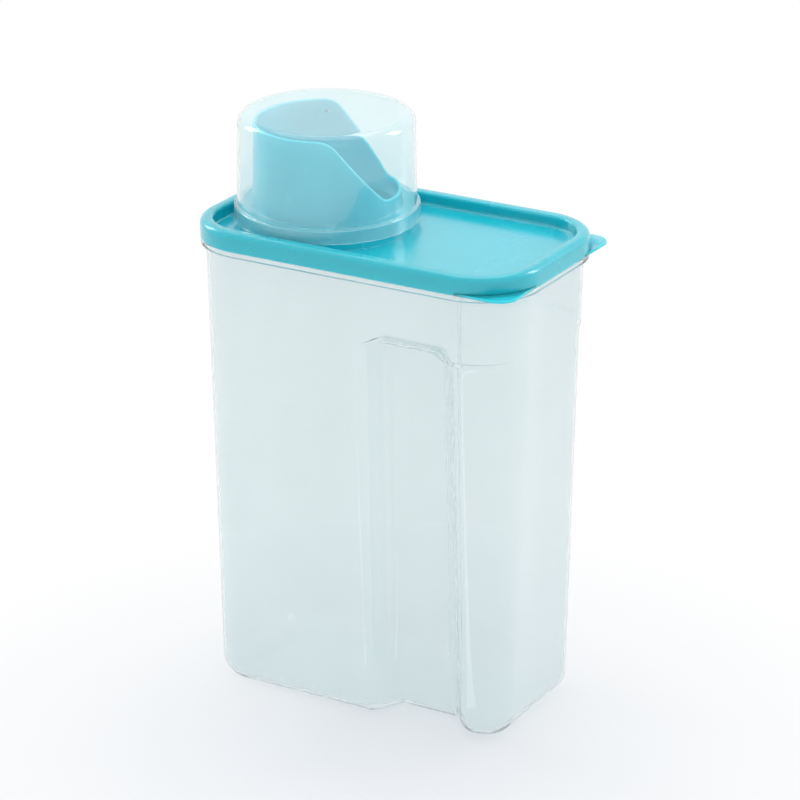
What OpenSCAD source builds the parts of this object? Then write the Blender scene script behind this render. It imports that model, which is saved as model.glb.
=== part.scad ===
// Laundry powder container: a drafted moulded body with a grip recess in each long side,
// a lid with a recessed panel and a pouring spout, and a measuring cup that covers the spout.
// The origin is the centre of the base, +X points away from the spout and -Y is the front.

/* [Body] */
// Outside length of the body just under its flange
body_l = 172; // [160:1:200]
// Outside width of the body just under its flange
body_w = 98.6; // [92:0.2:112]
// Height of the flange's underside above the ground
body_h = 226.2; // [190:0.2:280]
// Draft of each wall, in degrees
draft = 1.6; // [1:0.1:2]
// Radius of the upright corners under the flange
corner_top_r = 27.9; // [24:0.1:32]
// Radius of the upright corners at the base
corner_base_r = 17.6; // [15:0.1:24]
// Radius of the edge between the walls and the base
base_edge_r = 12; // [6:0.5:14]
// Thickness of the walls
body_wall = 1.5; // [1.2:0.1:2.2]
// Thickness of the base
base_t = 2; // [1.4:0.1:2.5]

/* [Flange] */
// How far the flange stands out past the wall
flange_out = 2.8; // [2.4:0.1:4]
// Thickness of the flange
flange_t = 2.6; // [2:0.1:4]
// Height of the bead on the upright rim that the lid snaps over
rim_bead = 0.4; // [0.2:0.1:0.6]
// How far the upright rim stops below the lid's roof
rim_short = 1.2; // [0.4:0.1:2]

/* [Grip recesses] */
// Depth of each recess
grip_depth = 14.5; // [8:0.5:17]
// Length of each recess, along its edge
grip_l = 53.8; // [46:0.2:66]
// Distance from the flange's underside to the ledge over the fingers
grip_drop = 28.7; // [20:0.1:60]
// How far the ledge's underside curves down towards the recess
ledge_curve = 6; // [4:0.5:10]
// Length of the slope into the recess on the spout's side
slope_in = 11.6; // [9:0.2:14]
// Length of the slope out of the recess towards the ridge
slope_out = 14.2; // [11:0.2:16]
// How far the ridge at the end stands back from the wall above it
ridge_back = 3.4; // [1:0.1:5]
// How far the ledge comes down at its rounded ends
ledge_end_drop = 4.5; // [3:0.5:10]

/* [Lid] */
// Thickness of the lid's walls
lid_wall = 1.5; // [1.2:0.1:1.8]
// Height of the lid's skirt
skirt_h = 9.5; // [8.6:0.1:14]
// Gap between the skirt's edge and the flange
skirt_gap = 0.3; // [0.2:0.1:0.8]
// Clearance between the body's upright rim and the lid's inner wall
rim_gap = 0.7; // [0.4:0.1:1.2]
// Radius of the lid's outer top edge
lid_edge_r = 3; // [2:0.1:3.6]
// Depth of the panel below the lid's top
panel_drop = 6.1; // [5:0.1:7]
// Radius between the panel and the wall round it
panel_fillet = 1.8; // [1:0.1:2.2]
// Radius of the pull tabs' corners
tab_r = 9.6; // [7:0.2:14]
// How far the pull tabs stand out past the lid's sides
tab_out = 0.4; // [0.3:0.1:3]
// Thickness of the pull tabs
tab_t = 1.2; // [1:0.1:2]
// Height of the bead inside the skirt that snaps under the rim's bead
lid_bead = 0.4; // [0.2:0.1:0.5]

/* [Spout] */
// Height of the tall side of the spout above the panel
spout_h = 50.3; // [44:0.1:70]
// Thickness of the spout's wall
spout_wall = 1.8; // [1.4:0.1:2.4]
// Width of the ledge between the spout and the seat's edge
spout_ledge = 7; // [5:0.1:10]
// Draft of the spout's wall, in degrees
spout_draft = 1.4; // [0.5:0.1:2]
// Height of the low side of the mouth above the seat
mouth_low = 7.6; // [4:0.1:12]
// Slope of the mouth, in degrees
mouth_slope = 52; // [45:1:58]
// Where the mouth's upper bend starts, from the spout's axis
mouth_start = -3.3; // [-8:0.1:2]
// Radius of the mouth's upper bend
mouth_bend_r = 12; // [6:1:16]
// Radius of the mouth's lower bend
mouth_foot_r = 4; // [2:0.5:6]
// Direction that the mouth opens to, in degrees from the lid's length
mouth_turn = 28; // [0:1:60]

/* [Measuring cup] */
// Height of the cup
cup_h = 51.1; // [46:0.1:60]
// Thickness of the cup's walls
cup_wall = 1.2; // [1:0.1:1.6]
// Draft of the cup's wall, in degrees
cup_draft = 1; // [0.5:0.1:2]
// Radius of the edge round the cup's end
cup_edge_r = 5.3; // [3:0.1:8]
// Height of the wide collar at the cup's mouth
collar_h = 6; // [4:0.1:6.8]
// How much the collar widens towards the mouth
collar_flare = 0.5; // [0.2:0.1:1]
// Radius of the edge round the cup's shoulder
shoulder_r = 0.8; // [0.4:0.1:1]
// Height of the seat that carries the cup, above the panel
seat_h = 9.7; // [8.8:0.1:12]
// Chamfer round the seat's edge
seat_chamfer = 0.5; // [0.2:0.1:0.8]
// Width of the seat under the cup's shoulder
seat_land = 1; // [0.6:0.1:1.5]
// Clearance between the seat and the cup's collar
seat_gap = 0.35; // [0.3:0.05:0.6]
// Gap between the cup's mouth and the long walls of the lid's recess
cup_side_gap = 0.95; // [0.5:0.05:2]
// Gap between the cup's mouth and the end wall of the lid's recess
cup_end_gap = 1.2; // [0.5:0.05:6]
// Radius of the moulding gate's dimple on the cup's end
gate_r = 1.8; // [1:0.1:3]
// Depth of the gate's dimple
gate_depth = 0.5; // [0.2:0.1:0.8]

/* [Hidden] */
$fn = 96;
// Small overlap that makes joined shapes one solid
bite = 0.4;
corner_steps = 8;
slope_steps = 5;
edge_steps = 4;
// Exponent below 1 that makes the slope into a recess start steeply
slope_bias = 0.8;
// Smallest radius that an inner corner may shrink to
least_r = 0.5;
// Where a tab leaves the skirt, as a share of the lid's corner radius
tab_reach = 0.9;
// How far a tab's corner turns past square before it meets the skirt, in degrees
tab_turn = 7;
// Radius of the gate dimple's floor, as a share of its mouth
gate_floor = 0.6;

// Heights
flange_top = body_h + flange_t;
lid_low = flange_top + skirt_gap;
lid_top = lid_low + skirt_h;
roof_low = lid_top - lid_wall;
rim_top = roof_low - rim_short;
panel_top = lid_top - panel_drop;
seat_top = panel_top + seat_h;
spout_top = panel_top + spout_h;
cup_mouth_z = seat_top - collar_h;
cup_top = cup_mouth_z + cup_h;
ledge_z = body_h - grip_drop;

// Half sizes of the lid in plan, which the flange shares
lid_a = body_l / 2 + flange_out;
lid_b = body_w / 2 + flange_out;
lid_r = corner_top_r + flange_out;
lid_rim_w = flange_out + body_wall + rim_gap + lid_wall;

// Radii round the spout's axis, from the recess's wall inwards
cup_mouth_r = lid_b - lid_rim_w - cup_side_gap;
collar_top_r = cup_mouth_r - collar_flare;
seat_r = collar_top_r - cup_wall - seat_gap;
cup_base_r = seat_r - seat_land + cup_wall;
spout_base_r = seat_r - spout_ledge;
spout_x = cup_mouth_r + cup_end_gap + lid_rim_w - lid_a;

// Points of an arc about a centre, from one angle to another
function arc(c, r, from, to, n) = [for (i = [0:n])
    let (t = from + (to - from) * i / n) [c[0] + r * cos(t), c[1] + r * sin(t)]];

// Body walls: half sizes and corner radius at a height
function wall_a(z) = body_l / 2 - (body_h - min(z, body_h)) * tan(draft);
function wall_b(z) = body_w / 2 - (body_h - min(z, body_h)) * tan(draft);
function wall_r(z) = corner_base_r + (corner_top_r - corner_base_r) * min(z, body_h) / body_h;

// Smooth step from 0 to 1, and the steeper one that starts a recess
function smooth(t) = t * t * (3 - 2 * t);
function brisk(t) = smooth(pow(t, slope_bias));

// Ends of the recess: it runs from start to the corner of the wall
function grip_end(z) = wall_a(z) - wall_r(z);
function grip_start(z) = grip_end(0) - grip_l;

// Stations along one long side: position, depth as a share of the recess's, and end drop
function stations(z, skin) = let (
        s = grip_start(z) - skin / 2, s_end = grip_start(z) + slope_in - skin / 2,
        e = grip_end(z), e_start = grip_end(z) - slope_out + skin / 2,
        ridge = ridge_back / grip_depth)
    concat(
        [for (i = [0:slope_steps]) let (t = i / slope_steps)
            [s + (s_end - s) * t, brisk(t), 1 - smooth(t)]],
        [for (i = [0:slope_steps - 1]) let (t = i / slope_steps)
            [e_start + (e - e_start) * t, 1 - (1 - ridge) * smooth(t), smooth(t)]]);

// One station's point: inset from the wall, moved back by the recess, at its own height
function side_point(z, skin, inset, deep, i, side) = let (
        s = stations(z, skin)[i], zz = z - deep[1] * s[2], t = stations(zz, skin)[i])
    [t[0], side * (wall_b(zz) - inset - t[1] * deep[0] * grip_depth), zz + deep[2]];

// One corner's point: the two corners at the recess's end stand back as the ridge does
function corner_point(z, inset, deep, q, i) = let (
        zz = z - (q == 0 || q == 3 ? deep[1] : 0),
        turn = 90 * q + 90 * i / corner_steps,
        r = max(wall_r(zz) - inset, least_r),
        back = cos(turn) > 0 || q == 0 || q == 3 ? deep[0] * ridge_back * abs(sin(turn)) : 0,
        x = sign(q == 0 || q == 3 ? 1 : -1) * (wall_a(zz) - inset - r) + r * cos(turn),
        y = (q < 2 ? 1 : -1) * (wall_b(zz) - inset - r) + r * sin(turn))
    [x, y - (q < 2 ? 1 : -1) * back, zz + deep[2]];

// A ring of points round the body at height z. inset is the distance inside the wall's line,
// skin the part of it that is wall thickness, and deep = [recess 0 to 1, end drop, lift].
function ring(z, inset, skin, deep) = let (n = 2 * slope_steps)
    concat(
        [for (i = [0:n]) side_point(z, skin, inset, deep, i, -1)],
        [for (i = [0:corner_steps]) corner_point(z, inset, deep, 3, i)],
        [for (i = [0:corner_steps]) corner_point(z, inset, deep, 0, i)],
        [for (i = [n:-1:0]) side_point(z, skin, inset, deep, i, 1)],
        [for (i = [0:corner_steps]) corner_point(z, inset, deep, 1, i)],
        [for (i = [0:corner_steps]) corner_point(z, inset, deep, 2, i)]);

// Rings of the base's rounded edge, of the ledge over the recess, and of the upper rim
function base_rings(floor_z, r, skin) = [for (i = [0:edge_steps])
    let (t = 90 - 90 * i / edge_steps)
    ring(floor_z + r * (1 - sin(t)), skin + r * (1 - cos(t)), skin, [1, 0, 0])];
function ledge_rings(skin) = [for (i = [0:edge_steps])
    let (t = 90 - 90 * i / edge_steps)
    ring(ledge_z - ledge_curve * (1 - cos(t)), skin, skin, [sin(t), ledge_end_drop, skin])];
function rim_ring(z, inset) = ring(z, inset, 0, [0, 0, 0]);

// Joins rings of equal length into one closed skin, with a flat cap at each end
module loft(rings) {
    n = len(rings[0]);
    last = (len(rings) - 1) * n;
    polyhedron(
        points = [for (r = rings) each r],
        faces = concat(
            [[for (i = [0:n - 1]) i]],
            [for (k = [0:len(rings) - 2], i = [0:n - 1]) let (a = k * n + i, b = k * n + (i + 1) % n)
                each [[a, a + n, b + n], [a, b + n, b]]],
            [[for (i = [n - 1:-1:0]) last + i]]),
        convexity = 10);
}

// Injection-moulded body: walls, grip recesses, flat base, flange and rim
module container_body() {
    inner_r = base_edge_r - body_wall;
    bead_z = (flange_top + rim_top) / 2;
    color([0.88, 0.93, 0.93, 0.6])
    loft(concat(
        base_rings(0, base_edge_r, 0),
        ledge_rings(0),
        [rim_ring(body_h, 0), rim_ring(body_h, -flange_out), rim_ring(flange_top, -flange_out),
         rim_ring(flange_top, 0), rim_ring(bead_z - rim_bead, 0), rim_ring(bead_z, -rim_bead),
         rim_ring(bead_z + rim_bead, 0), rim_ring(rim_top, 0), rim_ring(rim_top, body_wall),
         rim_ring(body_h, body_wall)],
        [for (i = [edge_steps:-1:0]) ledge_rings(body_wall)[i]],
        [for (i = [edge_steps:-1:0]) base_rings(base_t, inner_r, body_wall)[i]]));
}

// Rounded rectangle, from its half sizes and its corner radius
module plate(a, b, r) {
    square([2 * (a - r), 2 * b], center = true);
    square([2 * a, 2 * (b - r)], center = true);
    for (x = [-1, 1], y = [-1, 1]) translate([x * (a - r), y * (b - r)]) circle(r);
}

// Runs a section round a rounded rectangle. The section's x is 0 on the outline, minus inside.
module run_round(a, b, r) {
    for (i = [0:3]) rotate(90 * i) {
        across = i % 2 == 0 ? a : b;
        along = i % 2 == 0 ? b : a;
        translate([across, along - r, 0]) rotate([90, 0, 0])
            linear_extrude(2 * (along - r)) children();
        translate([across - r, along - r, 0]) rotate_extrude(angle = 90)
            translate([r, 0]) children();
    }
}

// Section of the lid's hollow rim, from its skirt to the fillet at the panel
module rim_section() {
    inner_leg = panel_drop + lid_wall;
    bead_z = (flange_top + rim_top) / 2 - 2 * rim_bead - lid_bead;
    difference() {
        polygon(concat(
            [[0, lid_low]],
            arc([-lid_edge_r, lid_top - lid_edge_r], lid_edge_r, 0, 90, edge_steps),
            arc([-lid_rim_w + lid_wall, lid_top - lid_wall], lid_wall, 90, 180, edge_steps),
            [[-lid_rim_w, lid_low]]));
        polygon(concat(
            [[-lid_wall, lid_low - bite]],
            arc([-lid_edge_r, lid_top - lid_edge_r], lid_edge_r - lid_wall, 0, 90, edge_steps),
            [[-lid_rim_w + lid_wall, roof_low], [-lid_rim_w + lid_wall, lid_low - bite]]));
        translate([-lid_rim_w - bite, lid_low - bite])
            square([lid_rim_w - 2 * lid_wall + bite, lid_top - inner_leg - lid_low + bite]);
    }
    polygon(concat(
        [[-lid_rim_w + bite, panel_top - bite], [-lid_rim_w + bite, panel_top + panel_fillet]],
        arc([-lid_rim_w - panel_fillet, panel_top + panel_fillet], panel_fillet, 0, -90, edge_steps),
        [[-lid_rim_w - panel_fillet, panel_top - bite]]));
    polygon([[-lid_wall + bite, bead_z - lid_bead], [-lid_wall, bead_z - lid_bead],
        [-lid_wall - lid_bead, bead_z], [-lid_wall, bead_z + lid_bead],
        [-lid_wall + bite, bead_z + lid_bead]]);
}

// Pull tab: a thin leaf on the skirt's lower edge that squares the lid's corner off
module pull_tab(side) {
    c = [lid_a + tab_out - tab_r, lid_b + tab_out - tab_r];
    x = lid_a - lid_r * tab_reach;
    y = lid_b - lid_r * tab_reach;
    mirror([0, side < 0 ? 1 : 0, 0]) translate([0, 0, lid_low]) linear_extrude(tab_t)
        difference() {
            polygon(concat(
                [[x, lid_b - lid_wall], [x, lid_b]],
                arc(c, tab_r, 90 + tab_turn, -tab_turn, 2 * edge_steps),
                [[lid_a, y], [lid_a - lid_wall, y]]));
            plate(lid_a - lid_wall / 2, lid_b - lid_wall / 2, lid_r - lid_wall / 2);
        }
}

// Seat for the cup and the spout's tube, turned about the spout's axis
module spout_body() {
    top_r = spout_base_r - (spout_top - seat_top) * tan(spout_draft);
    edge_z = seat_top - seat_chamfer;
    rotate_extrude() {
        translate([seat_r - lid_wall, panel_top - lid_wall])
            square([lid_wall, edge_z - panel_top + lid_wall]);
        polygon([[spout_base_r - spout_wall, seat_top - lid_wall], [seat_r, seat_top - lid_wall],
            [seat_r, edge_z], [seat_r - seat_chamfer, seat_top],
            [spout_base_r - spout_wall, seat_top]]);
        polygon([[spout_base_r - spout_wall, seat_top - lid_wall], [spout_base_r, seat_top - lid_wall],
            [spout_base_r, seat_top], [top_r, spout_top], [top_r - spout_wall, spout_top],
            [spout_base_r - spout_wall, seat_top]]);
    }
}

// What the oblique mouth cuts away: x runs the way that the mouth opens
module mouth_cut() {
    bend = [mouth_start, spout_top - mouth_bend_r];
    low = seat_top + mouth_low;
    leave = [bend[0] + mouth_bend_r * sin(mouth_slope), bend[1] + mouth_bend_r * cos(mouth_slope)];
    foot_z = low + mouth_foot_r * (1 - cos(mouth_slope));
    foot_x = leave[0] + (leave[1] - foot_z) / tan(mouth_slope);
    foot = [foot_x + mouth_foot_r * sin(mouth_slope), low + mouth_foot_r];
    rotate(mouth_turn) rotate([90, 0, 0])
        linear_extrude(4 * spout_base_r, center = true)
            polygon(concat(
                arc(bend, mouth_bend_r, 90, 90 - mouth_slope, edge_steps),
                arc(foot, mouth_foot_r, 270 - mouth_slope, 270, edge_steps),
                [[2 * spout_base_r, low], [2 * spout_base_r, spout_top + bite],
                 [mouth_start, spout_top + bite]]));
}

// One-piece lid: hollow rim, recessed panel, seat and spout, and two pull tabs
module lid() {
    color([0.37, 0.79, 0.83]) {
        run_round(lid_a, lid_b, lid_r) rim_section();
        inner = lid_rim_w - lid_wall / 2;
        translate([0, 0, panel_top - lid_wall]) linear_extrude(lid_wall) difference() {
            plate(lid_a - inner, lid_b - inner, lid_r - inner);
            translate([spout_x, 0]) circle(seat_r - lid_wall / 2);
        }
        translate([spout_x, 0, 0]) difference() {
            spout_body();
            mouth_cut();
        }
        pull_tab(1);
        pull_tab(-1);
    }
}

// Measuring cup, turned upside down over the spout: its shoulder rests on the seat
module measuring_cup() {
    top_r = cup_base_r - (cup_top - seat_top - cup_wall) * tan(cup_draft);
    edge = [top_r - cup_edge_r, cup_top - cup_edge_r];
    shoulder = [collar_top_r - shoulder_r, seat_top + cup_wall - shoulder_r];
    color([0.9, 0.95, 0.95, 0.5]) translate([spout_x, 0, 0]) rotate_extrude() polygon(concat(
        [[cup_mouth_r - cup_wall, cup_mouth_z], [cup_mouth_r, cup_mouth_z],
         [cup_mouth_r, cup_mouth_z + cup_wall]],
        arc(shoulder, shoulder_r, 0, 90, edge_steps),
        [[cup_base_r, seat_top + cup_wall]],
        arc(edge, cup_edge_r, 0, 90, edge_steps),
        [[gate_r, cup_top], [gate_r * gate_floor, cup_top - gate_depth], [0, cup_top - gate_depth],
         [0, cup_top - cup_wall]],
        arc(edge, cup_edge_r - cup_wall, 90, 0, edge_steps),
        [[cup_base_r - cup_wall, seat_top], [collar_top_r - cup_wall, seat_top]]));
}

container_body();
lid();
measuring_cup();
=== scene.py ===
"""A laundry powder container in a white studio: a milky body with grip recesses, a turquoise lid
with a pouring spout, and a clear measuring cup that stands over the spout.

Sizes are in millimetres and are turned into metres where each mesh is made. The container stands
on z = 0 with +X away from the spout, -Y to the front and +Z up, as the CAD model has it.
"""
import math

import bmesh
import bpy
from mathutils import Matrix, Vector


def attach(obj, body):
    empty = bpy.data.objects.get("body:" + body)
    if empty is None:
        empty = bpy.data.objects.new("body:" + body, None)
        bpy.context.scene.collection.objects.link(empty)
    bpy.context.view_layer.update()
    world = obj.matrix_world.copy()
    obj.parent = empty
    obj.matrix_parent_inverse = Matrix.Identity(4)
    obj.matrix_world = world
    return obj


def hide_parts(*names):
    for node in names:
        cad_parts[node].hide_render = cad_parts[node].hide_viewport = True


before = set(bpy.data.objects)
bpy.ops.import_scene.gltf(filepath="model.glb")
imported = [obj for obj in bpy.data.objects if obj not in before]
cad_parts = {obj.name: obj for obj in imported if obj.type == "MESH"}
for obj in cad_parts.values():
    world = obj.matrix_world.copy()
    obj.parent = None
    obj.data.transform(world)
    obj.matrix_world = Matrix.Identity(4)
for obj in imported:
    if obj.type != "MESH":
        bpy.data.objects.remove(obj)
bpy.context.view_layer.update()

# Body
# One injection-moulded shell of natural polypropylene, milky and see-through, 1.5 mm thick.
# Its walls lean in to the base by the mould's draft, each long side has a recess for the hand,
# and the flange and the upright rim at the mouth carry the lid.
MM = 0.001
body_length = 172
body_width = 98.6
flange_low = 226.2
draft = math.radians(1.6)
corner_top_radius = 27.9
corner_base_radius = 17.6
base_edge_radius = 12
base_seam = 0.8
body_wall = 1.5
floor_top = 2
flange_reach = 2.8
flange_top = 228.8
rim_top = 235.9
rim_bead_z = 232.35
rim_bead = 0.4
grip_depth = 14.5
grip_length = 53.8
ledge_z = 197.5
ledge_curve = 6
ledge_end_drop = 4.5
ledge_edge_radius = 0.9
slope_in = 11.6
slope_out = 14.2
ridge_back = 3.4
corner_steps = 18
slope_steps = 16
edge_steps = 10


def wall(z):
    """Half length, half width and corner radius of the body's outside at height z."""
    z = min(z, flange_low)
    lean = (flange_low - z) * math.tan(draft)
    corner = corner_base_radius + (corner_top_radius - corner_base_radius) * z / flange_low
    return body_length / 2 - lean, body_width / 2 - lean, corner


def smooth(t):
    return t * t * (3 - 2 * t)


def grip_stations(z, skin):
    """Points along a long side at height z: x, share of the recess's depth, share of the end drop."""
    base_half, _, base_corner = wall(0)
    start = base_half - base_corner - grip_length - skin / 2
    half, _, corner = wall(z)
    end = half - corner
    slope_foot = end - slope_out + skin / 2
    ridge = ridge_back / grip_depth
    stations = [(corner - half + 3, 0, 1), (start - 3, 0, 1)]
    for i in range(slope_steps + 1):
        t = i / slope_steps
        stations.append((start + slope_in * t, smooth(t ** 0.8), 1 - smooth(t)))
    for i in range(slope_steps):
        t = i / slope_steps
        stations.append((slope_foot + (end - slope_foot) * t, 1 - (1 - ridge) * smooth(t), smooth(t)))
    return stations


def body_ring(z, inset, skin=0, share=0, drop=0, lift=0):
    """A closed ring round the body. It starts in the middle of the spout's end and runs along the
    front, so that point k mirrors point -1 - k. share is how deep the recess is, and drop lowers
    its rounded ends."""
    front = []
    for i in range(corner_steps + 1):
        half, side, corner = wall(z)
        radius = max(corner - inset, 0.5)
        turn = math.radians(180 + 90 * i / corner_steps)
        front.append((inset + radius - half + radius * math.cos(turn),
                      inset + radius - side + radius * math.sin(turn), z + lift))
    for i, (x, depth, end) in enumerate(grip_stations(z, skin)):
        low = z - drop * end
        x, depth, _ = grip_stations(low, skin)[i]
        front.append((x, inset + depth * share * grip_depth - wall(low)[1], low + lift))
    for i in range(corner_steps + 1):
        low = z - drop
        half, side, corner = wall(low)
        radius = max(corner - inset, 0.5)
        turn = math.radians(270 + 90 * i / corner_steps)
        back = share * ridge_back * abs(math.sin(turn))
        front.append((half - inset - radius + radius * math.cos(turn),
                      inset + radius - side + radius * math.sin(turn) + back, low + lift))
    first, last = front[0], front[-1]
    front = [(first[0], first[1] + 3, first[2])] + front + [(last[0], last[1] + 3, last[2])]
    return front + [(x, -y, z) for x, y, z in reversed(front)]


def between(low, high, count):
    """Rings in the straight wall between two rings, with one close to each of them."""
    shares = [0.012] + [k / (count + 1) for k in range(1, count + 1)] + [0.988]
    return [[tuple(a + (b - a) * t for a, b in zip(p, q)) for p, q in zip(low, high)] for t in shares]


def rounded(corners, steps=5, hold=0.35):
    """A section's points (x, z). corners has (x, z, radius), and each corner is rounded. A straight
    gets a point close to each end, which keeps its shading flat."""
    points = [Vector(corners[0][:2])]
    for (ax, az, _), (x, z, radius), (bx, bz, _) in zip(corners, corners[1:], corners[2:]):
        here = Vector((x, z))
        into, out = (Vector((ax, az)) - here).normalized(), (Vector((bx, bz)) - here).normalized()
        half_angle = into.angle(out) / 2
        if radius == 0:
            points.append(here)
            continue
        centre = here + (into + out).normalized() * radius / math.sin(half_angle)
        start = here + into * radius / math.tan(half_angle) - centre
        end = here + out * radius / math.tan(half_angle) - centre
        sweep = start.angle_signed(end)
        for i in range(steps + 1):
            turn = -sweep * i / steps
            points.append(centre + Vector((start.x * math.cos(turn) - start.y * math.sin(turn),
                                           start.x * math.sin(turn) + start.y * math.cos(turn))))
    points.append(Vector(corners[-1][:2]))
    held = [points[0]]
    for a, b in zip(points, points[1:]):
        if (b - a).length > 3 * hold:
            step = (b - a).normalized() * hold
            held += [a + step, b - step]
        held.append(b)
    return [tuple(p) for p in held]


def ledge(skin):
    """Rings up the curved ceiling of the recess and over the rounded edge above the fingers."""
    edge = ledge_edge_radius / grip_depth
    rings = []
    for i in range(edge_steps + 1):
        t = math.radians(90 - 90 * i / edge_steps)
        rings.append(body_ring(ledge_z - ledge_curve * (1 - math.cos(t)), skin, skin,
                               edge + (1 - edge) * math.sin(t), ledge_end_drop, skin))
    for i in range(1, 5):
        t = math.radians(90 * i / 4)
        rings.append(body_ring(ledge_z + ledge_edge_radius * (1 - math.cos(t)), skin, skin,
                               edge * (1 - math.sin(t)), ledge_end_drop, skin))
    return rings


def base_edge(floor, radius, skin):
    rings = []
    for i in range(edge_steps + 1):
        t = math.radians(90 - 90 * i / edge_steps)
        rings.append(body_ring(floor + radius * (1 - math.sin(t)), skin + radius * (1 - math.cos(t)),
                               skin, 1))
    return rings


def add_rings(mesh, rings):
    """Adds rings of points to a bmesh, joined each to the next by faces, and returns their vertices."""
    loops = [[mesh.verts.new(Vector(p) * MM) for p in ring] for ring in rings]
    for low, high in zip(loops, loops[1:]):
        for k in range(len(low)):
            j = (k + 1) % len(low)
            mesh.faces.new((low[k], low[j], high[j], high[k]))
    return loops


def add_ladder(mesh, loop):
    """Closes a ring whose front and back mirror each other, with faces from one to the other."""
    for k in range(len(loop) // 2 - 1):
        mesh.faces.new((loop[k], loop[k + 1], loop[-2 - k], loop[-1 - k]))


def finish_mesh(mesh, name, material):
    """Turns a closed bmesh into a smooth object with its faces outwards."""
    bmesh.ops.remove_doubles(mesh, verts=mesh.verts, dist=1e-7)
    bmesh.ops.recalc_face_normals(mesh, faces=mesh.faces)
    data = bpy.data.meshes.new(name)
    mesh.to_mesh(data)
    mesh.free()
    for face in data.polygons:
        face.use_smooth = True
    data.materials.append(material)
    made = bpy.data.objects.new(name, data)
    bpy.context.scene.collection.objects.link(made)
    return made


def moulded_skin_group():
    """The surface that a steel mould leaves on plastic: broad flow marks and a fine satin grain."""
    group = bpy.data.node_groups.new("Moulded skin", "ShaderNodeTree")
    face = group.interface
    for name, value in (("Roughness", 0.3), ("Roughness spread", 0.05), ("Flow scale", 25.0),
                        ("Grain scale", 900.0)):
        face.new_socket(name, in_out="INPUT", socket_type="NodeSocketFloat").default_value = value
    for name in ("Roughness", "Flow", "Grain"):
        face.new_socket(name, in_out="OUTPUT", socket_type="NodeSocketFloat")
    nodes, links = group.nodes, group.links
    given, out = nodes.new("NodeGroupInput"), nodes.new("NodeGroupOutput")
    where = nodes.new("ShaderNodeTexCoord")
    flow = nodes.new("ShaderNodeTexNoise")
    flow.inputs["Detail"].default_value = 3
    flow.inputs["Distortion"].default_value = 0.6
    grain = nodes.new("ShaderNodeTexNoise")
    grain.inputs["Detail"].default_value = 2
    spread = nodes.new("ShaderNodeMapRange")
    spread.inputs["From Min"].default_value = 0.3
    spread.inputs["From Max"].default_value = 0.7
    lowest = nodes.new("ShaderNodeMath")
    lowest.operation = "SUBTRACT"
    highest = nodes.new("ShaderNodeMath")
    highest.operation = "ADD"
    links.new(where.outputs["Object"], flow.inputs["Vector"])
    links.new(where.outputs["Object"], grain.inputs["Vector"])
    links.new(given.outputs["Flow scale"], flow.inputs["Scale"])
    links.new(given.outputs["Grain scale"], grain.inputs["Scale"])
    links.new(given.outputs["Roughness"], lowest.inputs[0])
    links.new(given.outputs["Roughness spread"], lowest.inputs[1])
    links.new(given.outputs["Roughness"], highest.inputs[0])
    links.new(given.outputs["Roughness spread"], highest.inputs[1])
    links.new(flow.outputs["Fac"], spread.inputs["Value"])
    links.new(lowest.outputs["Value"], spread.inputs["To Min"])
    links.new(highest.outputs["Value"], spread.inputs["To Max"])
    links.new(spread.outputs["Result"], out.inputs["Roughness"])
    links.new(flow.outputs["Fac"], out.inputs["Flow"])
    links.new(grain.outputs["Fac"], out.inputs["Grain"])
    return group


moulded_skin = moulded_skin_group()


def srgb(red, green, blue):
    """A colour written as it looks on a screen, 0 to 255."""
    return [((c / 255 + 0.055) / 1.055) ** 2.4 for c in (red, green, blue)] + [1]


def moulded_plastic(name, dark, pale, roughness, spread, flow_scale, grain_depth):
    """A plastic whose colour and gloss vary a little with the flow marks of the moulding."""
    material = bpy.data.materials.new(name)
    material.use_nodes = True
    nodes, links = material.node_tree.nodes, material.node_tree.links
    plastic = nodes["Principled BSDF"]
    skin = nodes.new("ShaderNodeGroup")
    skin.node_tree = moulded_skin
    skin.inputs["Roughness"].default_value = roughness
    skin.inputs["Roughness spread"].default_value = spread
    skin.inputs["Flow scale"].default_value = flow_scale
    colour = nodes.new("ShaderNodeMix")
    colour.data_type = "RGBA"
    colour.inputs["A"].default_value = dark
    colour.inputs["B"].default_value = pale
    bump = nodes.new("ShaderNodeBump")
    bump.inputs["Strength"].default_value = 1
    bump.inputs["Distance"].default_value = grain_depth * MM
    links.new(skin.outputs["Flow"], colour.inputs["Factor"])
    links.new(colour.outputs["Result"], plastic.inputs["Base Color"])
    links.new(skin.outputs["Roughness"], plastic.inputs["Roughness"])
    links.new(skin.outputs["Grain"], bump.inputs["Height"])
    links.new(bump.outputs["Normal"], plastic.inputs["Normal"])
    return material


def let_lamps_through(material, share, tint):
    """Lets that share of the lamps' light pass straight through a see-through plastic, tinted."""
    nodes, links = material.node_tree.nodes, material.node_tree.links
    clear = nodes.new("ShaderNodeBsdfTransparent")
    clear.inputs["Color"].default_value = tint
    path = nodes.new("ShaderNodeLightPath")
    passed = nodes.new("ShaderNodeMath")
    passed.operation = "MULTIPLY"
    passed.inputs[1].default_value = share
    mix = nodes.new("ShaderNodeMixShader")
    links.new(path.outputs["Is Shadow Ray"], passed.inputs[0])
    links.new(passed.outputs["Value"], mix.inputs["Fac"])
    links.new(nodes["Principled BSDF"].outputs["BSDF"], mix.inputs[1])
    links.new(clear.outputs["BSDF"], mix.inputs[2])
    links.new(mix.outputs["Shader"], nodes["Material Output"].inputs["Surface"])


milky_plastic = moulded_plastic("milky_polypropylene", srgb(234, 241, 242), srgb(240, 245, 246),
                                roughness=0.12, spread=0.03, flow_scale=18, grain_depth=0.002)
shader = milky_plastic.node_tree.nodes["Principled BSDF"]
shader.inputs["IOR"].default_value = 1.06
shader.inputs["Transmission Weight"].default_value = 0.86
shader.inputs["Coat Weight"].default_value = 0.8
shader.inputs["Coat Roughness"].default_value = 0.06
let_lamps_through(milky_plastic, 0.9, srgb(244, 250, 250))

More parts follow.
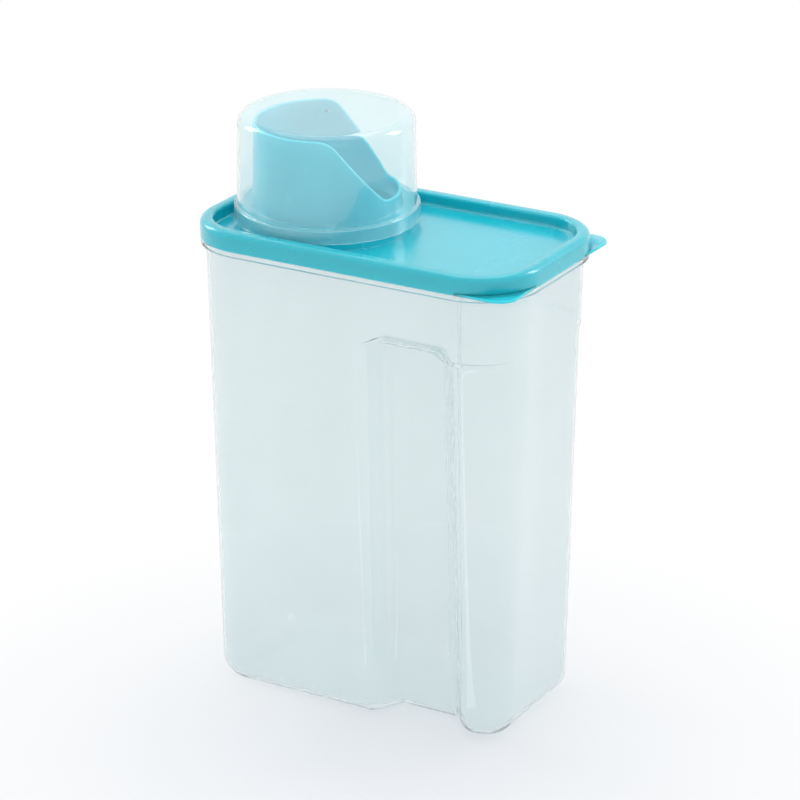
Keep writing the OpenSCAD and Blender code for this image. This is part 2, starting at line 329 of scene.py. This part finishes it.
mesh = bmesh.new()
flat_base = [body_ring(0, base_edge_radius + base_seam, share=1)]
outer_edge = base_edge(0, base_edge_radius, 0)
outer_ledge = ledge(0)
flange = [body_ring(z, inset) for inset, z in rounded([
    (0, flange_low - 1.5, 0), (0, flange_low, 0.5), (-flange_reach, flange_low, 0.5),
    (-flange_reach, flange_top, 0.5), (0, flange_top, 0.3), (0, rim_bead_z - rim_bead, 0.2),
    (-rim_bead, rim_bead_z, 0.3), (0, rim_bead_z + rim_bead, 0.2), (0, rim_top, 0.45),
    (body_wall, rim_top, 0.45), (body_wall, flange_low, 0)], steps=4, hold=0.3)]
inner_ledge = ledge(body_wall)
inner_edge = base_edge(floor_top, base_edge_radius - body_wall, body_wall)
loops = add_rings(mesh, flat_base + outer_edge + between(outer_edge[-1], outer_ledge[0], 6)
                  + outer_ledge + between(outer_ledge[-1], flange[0], 2) + flange
                  + between(flange[-1], inner_ledge[-1], 2) + inner_ledge[::-1]
                  + between(inner_ledge[0], inner_edge[-1], 6) + inner_edge[::-1])
add_ladder(mesh, loops[0])
add_ladder(mesh, loops[-1])
body = finish_mesh(mesh, "body_shell", milky_plastic)
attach(body, "container")
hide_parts("container_body")

# Lid
# One turquoise polypropylene moulding with a satin gloss. Its hollow rim snaps over the body's
# rim, the panel lies sunk inside it, and two thin leaves square off the corners away from the
# spout so that a thumb can lift them.
lid_half_length = 88.8
lid_half_width = 52.1
lid_corner_radius = 30.7
lid_wall = 1.5
lid_low = 229.1
lid_top = 238.6
lid_edge_radius = 3
lid_rim_width = 6.5
panel_top = 232.5
panel_fillet = 1.8
panel_seam = 1.2
lid_bead = 0.4
lid_bead_z = 231.15
seat_top = 242.2
seat_radius = 42.6
seat_wall = 1.5
spout_x = -36.45
spout_radius = 35.6
spout_draft = math.radians(1.4)
spout_wall = 1.8
spout_top = 282.8
mouth_low = 249.8
mouth_slope = math.radians(52)
mouth_start = -3.3
mouth_bend_radius = 12
mouth_foot_radius = 4
mouth_turn = math.radians(28)
lip_radius = 0.6
spout_columns = 240
seam_width = 0.9
tab_radius = 9.6
tab_out = 0.4
tab_thickness = 1.2
tab_edge = 0.35


def outline_sweep_tree():
    """Geometry Nodes that run a section round a rounded rectangle. The section is the modifier's own
    curve, drawn with x out from the outline and y down. With no side steps it turns the section
    round a circle."""
    tree = bpy.data.node_groups.new("Section round an outline", "GeometryNodeTree")
    face = tree.interface
    face.new_socket("Section", in_out="INPUT", socket_type="NodeSocketGeometry")
    for name in ("Half length", "Half width", "Corner radius"):
        face.new_socket(name, in_out="INPUT", socket_type="NodeSocketFloat")
    for name in ("Corner steps", "Side steps"):
        face.new_socket(name, in_out="INPUT", socket_type="NodeSocketInt")
    face.new_socket("Centre", in_out="INPUT", socket_type="NodeSocketVector")
    face.new_socket("Plastic", in_out="INPUT", socket_type="NodeSocketMaterial")
    face.new_socket("Geometry", in_out="OUTPUT", socket_type="NodeSocketGeometry")
    nodes, links = tree.nodes, tree.links
    given, out = nodes.new("NodeGroupInput"), nodes.new("NodeGroupOutput")

    def maths(operation, a, b):
        node = nodes.new("ShaderNodeMath")
        node.operation = operation
        for socket, value in zip(node.inputs, (a, b)):
            if isinstance(value, (int, float)):
                socket.default_value = value
            else:
                links.new(value, socket)
        return node.outputs["Value"]

    def vector(x, y):
        node = nodes.new("ShaderNodeCombineXYZ")
        links.new(x, node.inputs["X"])
        links.new(y, node.inputs["Y"])
        return node.outputs["Vector"]

    def add(a, b):
        node = nodes.new("ShaderNodeVectorMath")
        links.new(a, node.inputs[0])
        links.new(b, node.inputs[1])
        return node.outputs["Vector"]

    # Each quarter of the outline has one corner and the straight that follows it.
    quarter_points = maths("ADD", given.outputs["Corner steps"], given.outputs["Side steps"])
    circle = nodes.new("GeometryNodeCurvePrimitiveCircle")
    links.new(maths("MULTIPLY", quarter_points, 4), circle.inputs["Resolution"])
    index = nodes.new("GeometryNodeInputIndex").outputs["Index"]
    quarter = maths("FLOOR", maths("DIVIDE", maths("ADD", index, 0.5), quarter_points), 0)
    step = maths("SUBTRACT", index, maths("MULTIPLY", quarter, quarter_points))
    corner_share = maths("MINIMUM", maths("DIVIDE", step, given.outputs["Corner steps"]), 1)
    side_share = maths("MAXIMUM", maths("DIVIDE", maths("SUBTRACT", step, given.outputs["Corner steps"]),
                                        maths("MAXIMUM", given.outputs["Side steps"], 1)), 0)
    turn = maths("MULTIPLY", maths("ADD", quarter, corner_share), math.pi / 2)
    radius = given.outputs["Corner radius"]
    arc = vector(maths("MULTIPLY", maths("COSINE", turn, 0), radius),
                 maths("MULTIPLY", maths("SINE", turn, 0), radius))
    # A corner's centre has the signs of its quarter, and the side moves it to the next one's.
    middle = maths("MULTIPLY", maths("ADD", quarter, 0.5), math.pi / 2)
    after = maths("MULTIPLY", maths("ADD", quarter, 1.5), math.pi / 2)

    def blend_signs(function):
        here = maths("SIGN", maths(function, middle, 0), 0)
        there = maths("SIGN", maths(function, after, 0), 0)
        moved = maths("MULTIPLY", maths("SUBTRACT", there, here), side_share)
        return maths("ADD", here, moved)

    across = maths("SUBTRACT", given.outputs["Half length"], radius)
    along = maths("SUBTRACT", given.outputs["Half width"], radius)
    centre = vector(maths("MULTIPLY", blend_signs("COSINE"), across),
                    maths("MULTIPLY", blend_signs("SINE"), along))
    place = nodes.new("GeometryNodeSetPosition")
    links.new(circle.outputs["Curve"], place.inputs["Geometry"])
    links.new(add(add(arc, centre), given.outputs["Centre"]), place.inputs["Position"])
    upright = nodes.new("GeometryNodeSetCurveNormal")
    upright.mode = "Z_UP"
    links.new(place.outputs["Geometry"], upright.inputs["Curve"])
    sweep = nodes.new("GeometryNodeCurveToMesh")
    links.new(upright.outputs["Curve"], sweep.inputs["Curve"])
    links.new(given.outputs["Section"], sweep.inputs["Profile Curve"])
    smooth_faces = nodes.new("GeometryNodeSetShadeSmooth")
    links.new(sweep.outputs["Mesh"], smooth_faces.inputs["Geometry"])
    real = nodes.new("GeometryNodeRealizeInstances")
    links.new(smooth_faces.outputs["Geometry"], real.inputs["Geometry"])
    paint = nodes.new("GeometryNodeSetMaterial")
    links.new(real.outputs["Geometry"], paint.inputs["Geometry"])
    links.new(given.outputs["Plastic"], paint.inputs["Material"])
    links.new(paint.outputs["Geometry"], out.inputs["Geometry"])
    return tree


outline_sweep = outline_sweep_tree()


def swept_mesh(name, section, material, half_length, half_width, corner_radius, corner, side, centre):
    """The plain mesh of a section (x out from the outline, z) run round a rounded rectangle."""
    curve = bpy.data.curves.new(name + "_section", "CURVE")
    curve.dimensions = "3D"
    spline = curve.splines.new("POLY")
    spline.points.add(len(section) - 1)
    for point, (x, z) in zip(spline.points, section):
        point.co = (x * MM, -z * MM, 0, 1)
    holder = bpy.data.objects.new(name + "_section", curve)
    bpy.context.scene.collection.objects.link(holder)
    modifier = holder.modifiers.new("Section round an outline", "NODES")
    modifier.node_group = outline_sweep
    sizes = {"Half length": half_length * MM, "Half width": half_width * MM,
             "Corner radius": corner_radius * MM, "Corner steps": corner, "Side steps": side,
             "Centre": [c * MM for c in centre], "Plastic": material}
    for socket in outline_sweep.interface.items_tree:
        if socket.in_out == "INPUT" and socket.name in sizes:
            modifier[socket.identifier] = sizes[socket.name]
    evaluated = holder.evaluated_get(bpy.context.evaluated_depsgraph_get())
    made = bpy.data.meshes.new_from_object(evaluated)
    holder.modifiers.clear()
    bpy.data.objects.remove(holder)
    return made


turquoise = moulded_plastic("turquoise_polypropylene", srgb(12, 178, 194), srgb(20, 186, 202),
                            roughness=0.26, spread=0.03, flow_scale=30, grain_depth=0.001)
shader = turquoise.node_tree.nodes["Principled BSDF"]
shader.inputs["Subsurface Weight"].default_value = 0.8
shader.inputs["Subsurface Radius"].default_value = (0.2, 1, 1)
shader.inputs["Subsurface Scale"].default_value = 0.005
shader.inputs["Coat Weight"].default_value = 0.6
shader.inputs["Coat Roughness"].default_value = 0.12

rim_section = rounded([
    (-lid_rim_width - panel_fillet - panel_seam, panel_top, 0),
    (-lid_rim_width, panel_top, panel_fillet),
    (-lid_rim_width, lid_top, 1.5), (0, lid_top, lid_edge_radius), (0, lid_low, 0.35),
    (-lid_wall, lid_low, 0.35), (-lid_wall, lid_bead_z - lid_bead, 0.2),
    (-lid_wall - lid_bead, lid_bead_z, 0.2), (-lid_wall, lid_bead_z + lid_bead, 0.2),
    (-lid_wall, lid_top - lid_wall, 1.5), (lid_wall - lid_rim_width, lid_top - lid_wall, 0.4),
    (lid_wall - lid_rim_width, panel_top - lid_wall, 0.4),
    (-lid_rim_width - panel_seam, panel_top - lid_wall, 0)])
rim_corner_steps, rim_side_steps = 20, 30
rim_mesh = swept_mesh("lid_rim", rim_section, turquoise, lid_half_length, lid_half_width,
                      lid_corner_radius, rim_corner_steps, rim_side_steps, (0, 0, 0))


def mouth_height(u):
    """Height of the oblique mouth's edge, u millimetres from the spout's axis towards the low side."""
    bend_x, bend_z = mouth_start, spout_top - mouth_bend_radius
    leave_x = bend_x + mouth_bend_radius * math.sin(mouth_slope)
    leave_z = bend_z + mouth_bend_radius * math.cos(mouth_slope)
    reach_z = mouth_low + mouth_foot_radius * (1 - math.cos(mouth_slope))
    reach_x = leave_x + (leave_z - reach_z) / math.tan(mouth_slope)
    foot_x = reach_x + mouth_foot_radius * math.sin(mouth_slope)
    if u <= bend_x:
        return spout_top
    if u < leave_x:
        return bend_z + math.sqrt(mouth_bend_radius ** 2 - (u - bend_x) ** 2)
    if u < reach_x:
        return leave_z - (u - leave_x) * math.tan(mouth_slope)
    if u < foot_x:
        return mouth_low + mouth_foot_radius - math.sqrt(mouth_foot_radius ** 2 - (u - foot_x) ** 2)
    return mouth_low


def spout_ring(radius, height, share=0):
    """A ring round the spout's axis. With share it stands between that height and the mouth's edge,
    and the tube narrows with its height."""
    ring = []
    for k in range(spout_columns):
        turn = 2 * math.pi * k / spout_columns
        z = height
        if share:
            towards = math.cos(turn - mouth_turn)
            edge = mouth_height(radius * towards)
            edge = mouth_height((radius - (edge - seat_top) * math.tan(spout_draft)) * towards)
            z = seat_top + (edge - seat_top) * share + height
        r = radius - max(z - seat_top, 0) * math.tan(spout_draft)
        ring.append((spout_x + r * math.cos(turn), r * math.sin(turn), z))
    return ring


seat = [spout_ring(r, z) for r, z in rounded([
    (seat_radius + seam_width, panel_top, 0), (seat_radius, panel_top, 0.4), (seat_radius, seat_top, 0.5),
    (spout_radius, seat_top, 0.8), (spout_radius, seat_top + 3, 0)])]
tube_outside = [spout_ring(spout_radius, 0, share) for share in (0.45, 0.65, 0.85)]
lip = []
for i in range(9):
    turn = math.radians(180 * i / 8)
    across = spout_wall / 2 * (1 + math.cos(turn))
    lip.append(spout_ring(spout_radius - spout_wall + across, -lip_radius * (1 - math.sin(turn)), 1))
tube_inside = [spout_ring(spout_radius - spout_wall, 0, share) for share in (0.85, 0.65, 0.45)]
seat_inside = [spout_ring(r, z) for r, z in rounded([
    (spout_radius - spout_wall, seat_top + 2.5, 0),
    (spout_radius - spout_wall, seat_top - lid_wall, 0.5),
    (seat_radius - seat_wall, seat_top - lid_wall, 0.4),
    (seat_radius - seat_wall, panel_top - lid_wall, 0.4),
    (seat_radius - seat_wall + seam_width, panel_top - lid_wall, 0)])]


def zip_flat(mesh, outer, inner):
    """Fills the flat between two rings round the spout's axis, whose points needn't match."""
    def turn(vert):
        return math.atan2(vert.co.y, vert.co.x - spout_x * MM) % (2 * math.pi)

    outer, inner = sorted(outer, key=turn), sorted(inner, key=turn)
    i = j = 0
    while i < len(outer) or j < len(inner):
        a, b = outer[i % len(outer)], inner[j % len(inner)]
        next_a = turn(outer[i + 1]) if i + 1 < len(outer) else turn(outer[0]) + 2 * math.pi
        next_b = turn(inner[j + 1]) if j + 1 < len(inner) else turn(inner[0]) + 2 * math.pi
        if j == len(inner) or (i < len(outer) and next_a <= next_b):
            i += 1
            mesh.faces.new((a, b, outer[i % len(outer)]))
        else:
            j += 1
            mesh.faces.new((a, b, inner[j % len(inner)]))


def add_tab(mesh, side):
    """A thin leaf on the skirt's lower edge. It squares off the lid's corner."""
    outline = []
    root_x = lid_half_length - lid_corner_radius * 0.9
    root_y = lid_half_width - lid_corner_radius * 0.9
    outline.append((root_x, lid_half_width - lid_wall + 0.3))
    outline.append((root_x, lid_half_width))
    centre_x = lid_half_length + tab_out - tab_radius
    centre_y = lid_half_width + tab_out - tab_radius
    for i in range(17):
        turn = math.radians(97 - 104 * i / 16)
        outline.append((centre_x + tab_radius * math.cos(turn), centre_y + tab_radius * math.sin(turn)))
    outline.append((lid_half_length, root_y))
    outline.append((lid_half_length - lid_wall + 0.3, root_y))
    arc_x, arc_y = lid_half_length - lid_corner_radius, lid_half_width - lid_corner_radius
    inner = lid_corner_radius - lid_wall + 0.3
    for i in range(1, 16):
        turn = math.radians(4 + 82 * i / 16)
        outline.append((arc_x + inner * math.cos(turn), arc_y + inner * math.sin(turn)))
    low = [mesh.verts.new((x * MM, side * y * MM, lid_low * MM)) for x, y in outline]
    high = [mesh.verts.new((x * MM, side * y * MM, (lid_low + tab_thickness) * MM)) for x, y in outline]
    count = len(low)
    faces = [mesh.faces.new(low[::-1]), mesh.faces.new(high)]
    for k in range(count):
        faces.append(mesh.faces.new((low[k], low[(k + 1) % count], high[(k + 1) % count], high[k])))
    bmesh.ops.recalc_face_normals(mesh, faces=faces)
    edges = [e for ring in (low, high) for k in range(1, 20)
             for e in ring[k].link_edges if e.other_vert(ring[k]) is ring[k + 1]]
    bmesh.ops.bevel(mesh, geom=edges, offset=tab_edge * MM, segments=3, profile=0.5, affect="EDGES")


mesh = bmesh.new()
mesh.from_mesh(rim_mesh)
bpy.data.meshes.remove(rim_mesh)
mesh.verts.ensure_lookup_table()
section_count = len(rim_section)
rim_count = 4 * (rim_corner_steps + rim_side_steps)
upper = [mesh.verts[k * section_count] for k in range(rim_count)]
lower = [mesh.verts[k * section_count + section_count - 1] for k in range(rim_count)]
loops = add_rings(mesh, seat + tube_outside + lip + tube_inside + seat_inside)
zip_flat(mesh, upper, loops[0])
zip_flat(mesh, lower, loops[-1])
for side in (1, -1):
    add_tab(mesh, side)
lid = finish_mesh(mesh, "lid_shell", turquoise)
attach(lid, "lid")
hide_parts("lid")

# Measuring cup
# A clear polypropylene cup, turned upside down over the spout. Its shoulder rests on the lid's
# seat, its wide mouth hangs just above the panel, and the gate that filled the mould left a
# small dimple in the middle of its end.
cup_mouth_z = 236.2
cup_mouth_radius = 44.65
collar_top_radius = 44.15
cup_base_radius = 42.8
cup_top = 287.3
cup_top_radius = cup_base_radius - (cup_top - seat_top - 1.2) * math.tan(math.radians(1))
cup_wall = 1.2
cup_edge_radius = 5.3
shoulder_radius = 0.8
gate_radius = 1.8
gate_depth = 0.5
path_radius = 30
turned_corner_steps = 60

clear_plastic = moulded_plastic("clear_polypropylene", srgb(237, 248, 249), srgb(241, 250, 251),
                                roughness=0.07, spread=0.02, flow_scale=24, grain_depth=0.001)
shader = clear_plastic.node_tree.nodes["Principled BSDF"]
shader.inputs["IOR"].default_value = 1.08
shader.inputs["Transmission Weight"].default_value = 0.91
shader.inputs["Coat Weight"].default_value = 0.8
shader.inputs["Coat Roughness"].default_value = 0.04
let_lamps_through(clear_plastic, 0.95, srgb(250, 253, 253))

cup_section = rounded([
    (0, cup_top - cup_wall, 0),
    (cup_top_radius - cup_wall, cup_top - cup_wall, cup_edge_radius - cup_wall),
    (cup_base_radius - cup_wall, seat_top, 0.4), (collar_top_radius - cup_wall, seat_top, 0.3),
    (cup_mouth_radius - cup_wall, cup_mouth_z, 0.4), (cup_mouth_radius, cup_mouth_z, 0.4),
    (cup_mouth_radius, cup_mouth_z + cup_wall, 0.3),
    (collar_top_radius, seat_top + cup_wall, shoulder_radius),
    (cup_base_radius, seat_top + cup_wall, 0.5), (cup_top_radius, cup_top, cup_edge_radius),
    (gate_radius, cup_top, 0.3), (gate_radius * 0.6, cup_top - gate_depth, 0.3),
    (0, cup_top - gate_depth, 0)],
    steps=8)
cup_mesh = swept_mesh("cup", [(x - path_radius, z) for x, z in cup_section], clear_plastic,
                      path_radius, path_radius, path_radius, turned_corner_steps, 0, (spout_x, 0, 0))
mesh = bmesh.new()
mesh.from_mesh(cup_mesh)
bpy.data.meshes.remove(cup_mesh)
cup = finish_mesh(mesh, "measuring_cup_shell", clear_plastic)
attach(cup, "cup")
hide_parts("measuring_cup")

# Studio
# A white sweep under even, soft light, with a softbox on each side, one overhead and a weak fill
# in front, seen from above the front right corner through a long lens. The floor turns to pure
# white glow away from the container. Near it the floor is a grey matt, which is painted shade
# round the container's base, and the real shadows fall on it as well.
camera = bpy.data.objects.new("camera", bpy.data.cameras.new("camera"))
camera.data.lens = 165.7
camera.data.sensor_width = 36
camera.data.clip_end = 20
camera.location = (0.8206, -1.4181, 0.7983)
camera.rotation_euler = (math.radians(68.37), math.radians(0.05), math.radians(29.94))
bpy.context.scene.collection.objects.link(camera)
bpy.context.scene.camera = camera

world = bpy.data.worlds.new("studio")
bpy.context.scene.world = world
world.use_nodes = True
nodes, links = world.node_tree.nodes, world.node_tree.links
light = nodes["Background"]
light.inputs["Color"].default_value = srgb(250, 253, 255)
light.inputs["Strength"].default_value = 0.8
white = nodes.new("ShaderNodeBackground")
white.inputs["Color"].default_value = (1, 1, 1, 1)
path = nodes.new("ShaderNodeLightPath")
seen = nodes.new("ShaderNodeMath")
seen.operation = "MAXIMUM"
seen_through = nodes.new("ShaderNodeMath")
seen_through.operation = "MAXIMUM"
choose = nodes.new("ShaderNodeMixShader")
links.new(path.outputs["Is Camera Ray"], seen.inputs[0])
links.new(path.outputs["Is Glossy Ray"], seen.inputs[1])
links.new(seen.outputs["Value"], seen_through.inputs[0])
links.new(path.outputs["Is Transmission Ray"], seen_through.inputs[1])
links.new(seen_through.outputs["Value"], choose.inputs["Fac"])
links.new(light.outputs["Background"], choose.inputs[1])
links.new(white.outputs["Background"], choose.inputs[2])
links.new(choose.outputs["Shader"], nodes["World Output"].inputs["Surface"])

floor_data = bpy.data.meshes.new("floor")
floor_half, floor_z = 4, -0.0003
shade_centre = (0.03, -0.06, floor_z)
floor_data.from_pydata([(x * floor_half, y * floor_half, floor_z)
                        for x, y in ((-1, -1), (1, -1), (1, 1), (-1, 1))], [], [(0, 1, 2, 3)])
floor = bpy.data.objects.new("floor", floor_data)
bpy.context.scene.collection.objects.link(floor)
paper = bpy.data.materials.new("white_sweep")
paper.use_nodes = True
nodes, links = paper.node_tree.nodes, paper.node_tree.links
nodes.remove(nodes["Principled BSDF"])
# The grey matt near the container is painted shade round its base, and real shadows fall on it too.
# Further out it fades into white glow.
matt = nodes.new("ShaderNodeBsdfDiffuse")
matt.inputs["Color"].default_value = srgb(217, 219, 224)
glow = nodes.new("ShaderNodeEmission")
where = nodes.new("ShaderNodeTexCoord")
distance = nodes.new("ShaderNodeVectorMath")
distance.operation = "DISTANCE"
distance.inputs[1].default_value = shade_centre
fade = nodes.new("ShaderNodeMapRange")
fade.inputs["From Min"].default_value = 0.03
fade.inputs["From Max"].default_value = 0.26
fade.inputs["To Min"].default_value = 0.35
# Seen through the plastic the floor glows at least 0.6 white. This is painted light under the container,
# in place of the light its walls let through.
path = nodes.new("ShaderNodeLightPath")
seen_through = nodes.new("ShaderNodeMath")
seen_through.operation = "MULTIPLY"
seen_through.inputs[1].default_value = 0.6
whiter = nodes.new("ShaderNodeMath")
whiter.operation = "MAXIMUM"
choose = nodes.new("ShaderNodeMixShader")
links.new(where.outputs["Object"], distance.inputs[0])
links.new(distance.outputs["Value"], fade.inputs["Value"])
links.new(path.outputs["Is Transmission Ray"], seen_through.inputs[0])
links.new(fade.outputs["Result"], whiter.inputs[0])
links.new(seen_through.outputs["Value"], whiter.inputs[1])
links.new(whiter.outputs["Value"], choose.inputs["Fac"])
links.new(matt.outputs["BSDF"], choose.inputs[1])
links.new(glow.outputs["Emission"], choose.inputs[2])
links.new(choose.outputs["Shader"], nodes["Material Output"].inputs["Surface"])
floor_data.materials.append(paper)


def softbox(name, place, target, width, height, power):
    """A rectangular studio lamp at place that faces target."""
    data = bpy.data.lights.new(name, "AREA")
    data.shape = "RECTANGLE"
    data.size, data.size_y, data.energy = width, height, power
    lamp = bpy.data.objects.new(name, data)
    lamp.location = place
    lamp.rotation_euler = (Vector(target) - Vector(place)).to_track_quat("-Z", "Y").to_euler()
    bpy.context.scene.collection.objects.link(lamp)
    return lamp


softbox("left_softbox", (-1.6, 0.05, 0.95), (0, 0, 0.14), 0.45, 0.9, 7)
softbox("right_softbox", (1.1, 1.15, 1.0), (0, 0, 0.14), 0.45, 0.9, 7)
softbox("top_softbox", (-0.2, 0.3, 1.7), (0, 0, 0.1), 1.4, 1.4, 8)
fill = softbox("front_fill", (1.2, -1.2, 0.9), (0, 0, 0.14), 1, 1, 3)
fill.visible_glossy = False

# A narrow strip of light flat on the floor shows only as thin bright reflections along the body's
# upright edges. It runs out from the body's near corner.
strip_turn = math.radians(-110)
strip_length, strip_width, strip_gap = 0.43, 0.02, 0.02
strip_reach = strip_length / 2 + strip_gap
strip_place = Vector((0.065 + strip_reach * math.cos(strip_turn),
                      -0.05 + strip_reach * math.sin(strip_turn), 0.001))
strip = softbox("corner_strip", strip_place, strip_place + Vector((0, 0, 1)),
                strip_width, strip_length, 0.05)
strip.rotation_euler = (math.pi, 0, strip_turn - math.pi / 2)
strip.visible_camera = strip.visible_diffuse = strip.visible_transmission = False

bpy.context.scene.cycles.max_bounces = 24
bpy.context.scene.cycles.transmission_bounces = 24
bpy.context.scene.view_settings.view_transform = "Standard"
